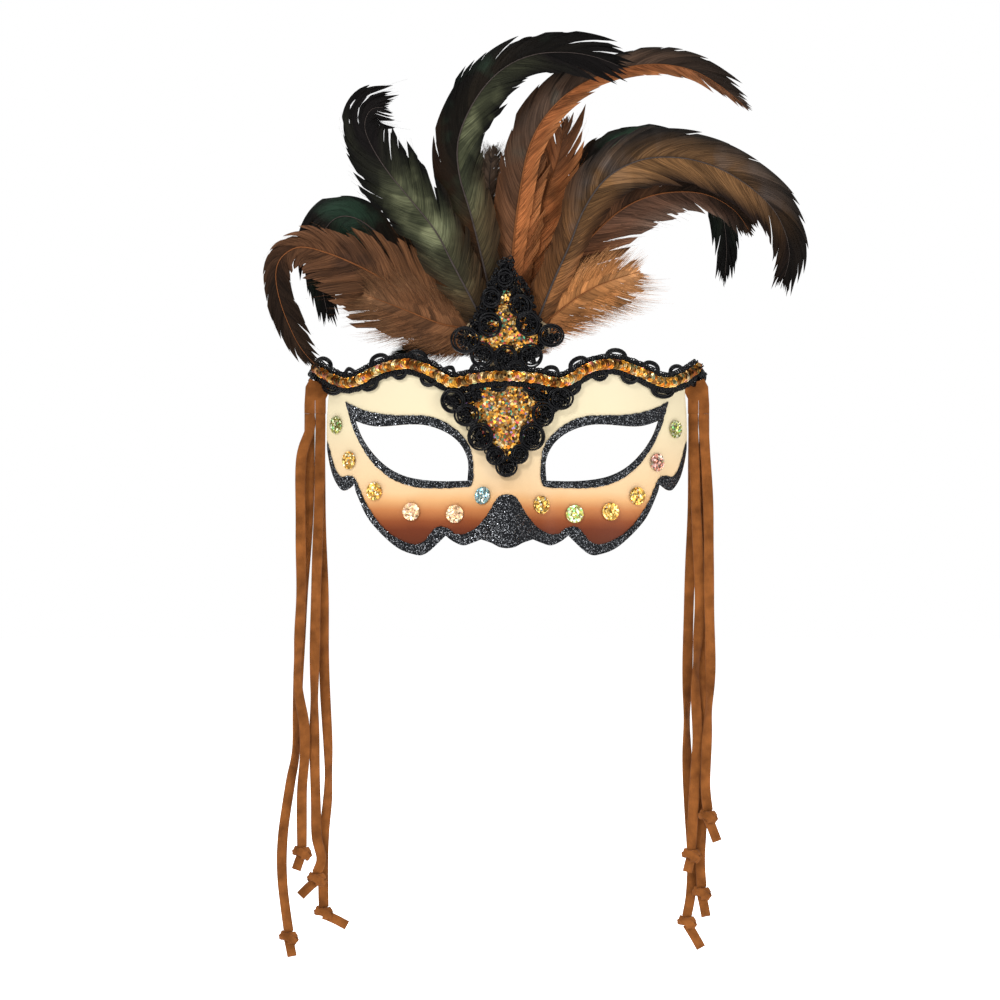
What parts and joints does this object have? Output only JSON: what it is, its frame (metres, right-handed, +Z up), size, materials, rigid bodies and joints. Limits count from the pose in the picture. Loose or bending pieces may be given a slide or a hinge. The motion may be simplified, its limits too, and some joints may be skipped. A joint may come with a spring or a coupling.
{
  "type": "carnival eye mask",
  "caption": "Half-face eye mask with almond eye openings, a fan of curled feathers over a trimmed crest, and knotted suede fringes at both temples.",
  "frame": {"origin": "on the back of the shell at the bridge of the nose, where it rests on the wearer", "axes": "+Z up along the face, -Y is where the mask looks, +X is to the right as seen from the front"},
  "size_m": [0.2376, 0.0589, 0.4138],
  "materials": {
    "painted_shell": "satin cream paint shading to copper brown at the cheeks",
    "holo_foil": "holographic gold foil",
    "holo_cloth": "holographic gold glitter cloth",
    "gold_sequin": "small gold cup sequins",
    "black_braid": "glossy black rayon cord",
    "card": "plain card",
    "felt": "black felt",
    "feather_green": "dark green-black rooster feather",
    "feather_dark": "brown-black rooster feather",
    "feather_brown": "bronze brown rooster feather",
    "feather_orange": "rust orange rooster feather",
    "suede": "tan suede"
  },
  "bodies": {
    "mask": {"mask_shell": "painted_shell", "foil_dot_left_1": "holo_foil", "foil_dot_left_2": "holo_foil", "foil_dot_left_3": "holo_foil", "foil_dot_left_4": "holo_foil", "foil_dot_left_5": "holo_foil", "foil_dot_left_6": "holo_foil", "foil_dot_right_1": "holo_foil", "foil_dot_right_2": "holo_foil", "foil_dot_right_3": "holo_foil", "foil_dot_right_4": "holo_foil", "foil_dot_right_5": "holo_foil", "foil_dot_right_6": "holo_foil", "looped_braid": "black_braid", "sequin_band": "gold_sequin", "centre_trim": "black_braid", "centre_cloth": "holo_cloth", "crest_trim": "black_braid", "crest_cloth": "holo_cloth", "crest_card": "card", "quill_pad": "felt", "feather_right_fluff": "feather_brown", "feather_left_fluff": "feather_brown", "feather_right_black_arc": "feather_dark", "feather_orange_centre": "feather_orange", "feather_left_green": "feather_green", "feather_left_long_arc": "feather_brown", "feather_orange_upright": "feather_orange", "feather_left_black_arc": "feather_dark", "feather_top_green_arc": "feather_green", "feather_right_bronze_arc": "feather_brown", "feather_grey_down": "feather_brown", "feather_right_brown_low": "feather_orange", "feather_left_dark_short": "feather_dark", "feather_right_long_arc": "feather_orange", "feather_left_low_dark": "feather_dark"},
    "left_tab": {"left_fringe_tab": "suede"},
    "left_laces": {"left_lace_1": "suede", "left_lace_2": "suede", "left_lace_3": "suede", "left_lace_4": "suede", "left_knot_1": "suede", "left_knot_2": "suede", "left_knot_3": "suede", "left_knot_4": "suede"},
    "right_tab": {"right_fringe_tab": "suede"},
    "right_laces": {"right_lace_1": "suede", "right_lace_2": "suede", "right_lace_3": "suede", "right_lace_4": "suede", "right_knot_1": "suede", "right_knot_2": "suede", "right_knot_3": "suede", "right_knot_4": "suede"}
  },
  "joints": [
    {"name": "left_fringe_swing", "type": "hinge", "parent": "mask", "child": "left_tab", "pos_m": [-0.0868, 0.03685, 0.0336], "axis": [1, 0, 0], "range_deg": [-60, 40]},
    {"name": "left_lace_sway", "type": "hinge", "parent": "left_tab", "child": "left_laces", "pos_m": [-0.0915, 0.03685, 0.0214], "axis": [0, 1, 0], "range_deg": [-2, 30]},
    {"name": "right_fringe_swing", "type": "hinge", "parent": "mask", "child": "right_tab", "pos_m": [0.0868, 0.03685, 0.0336], "axis": [1, 0, 0], "range_deg": [-60, 40]},
    {"name": "right_lace_sway", "type": "hinge", "parent": "right_tab", "child": "right_laces", "pos_m": [0.0915, 0.03685, 0.0214], "axis": [0, -1, 0], "range_deg": [-2, 30]}
  ]
}
